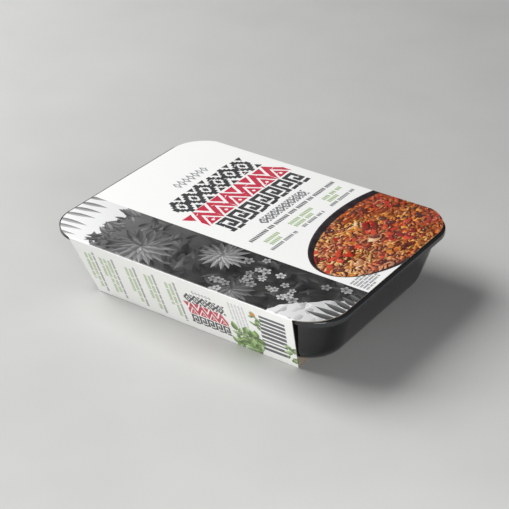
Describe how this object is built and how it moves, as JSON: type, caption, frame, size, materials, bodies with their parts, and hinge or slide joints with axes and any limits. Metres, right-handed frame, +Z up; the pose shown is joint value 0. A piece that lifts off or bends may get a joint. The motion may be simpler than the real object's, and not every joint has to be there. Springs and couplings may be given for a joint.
{
  "type": "ready meal pack",
  "caption": "Shallow rectangular ready-meal tray with a rim and rounded corners, filled and shut, inside a printed board sleeve with open ends.",
  "frame": {"origin": "under the middle of the pack, on the surface that it stands on", "axes": "+X along the pack, +Y across it, +Z up"},
  "size_m": [0.187, 0.1414, 0.0411],
  "materials": {
    "tray_plastic": "glossy black thermoformed CPET",
    "sleeve_board": "white coated folding boxboard with a satin print"
  },
  "bodies": {
    "root": {"tray": "tray_plastic", "sleeve": "sleeve_board"}
  },
  "joints": []
}
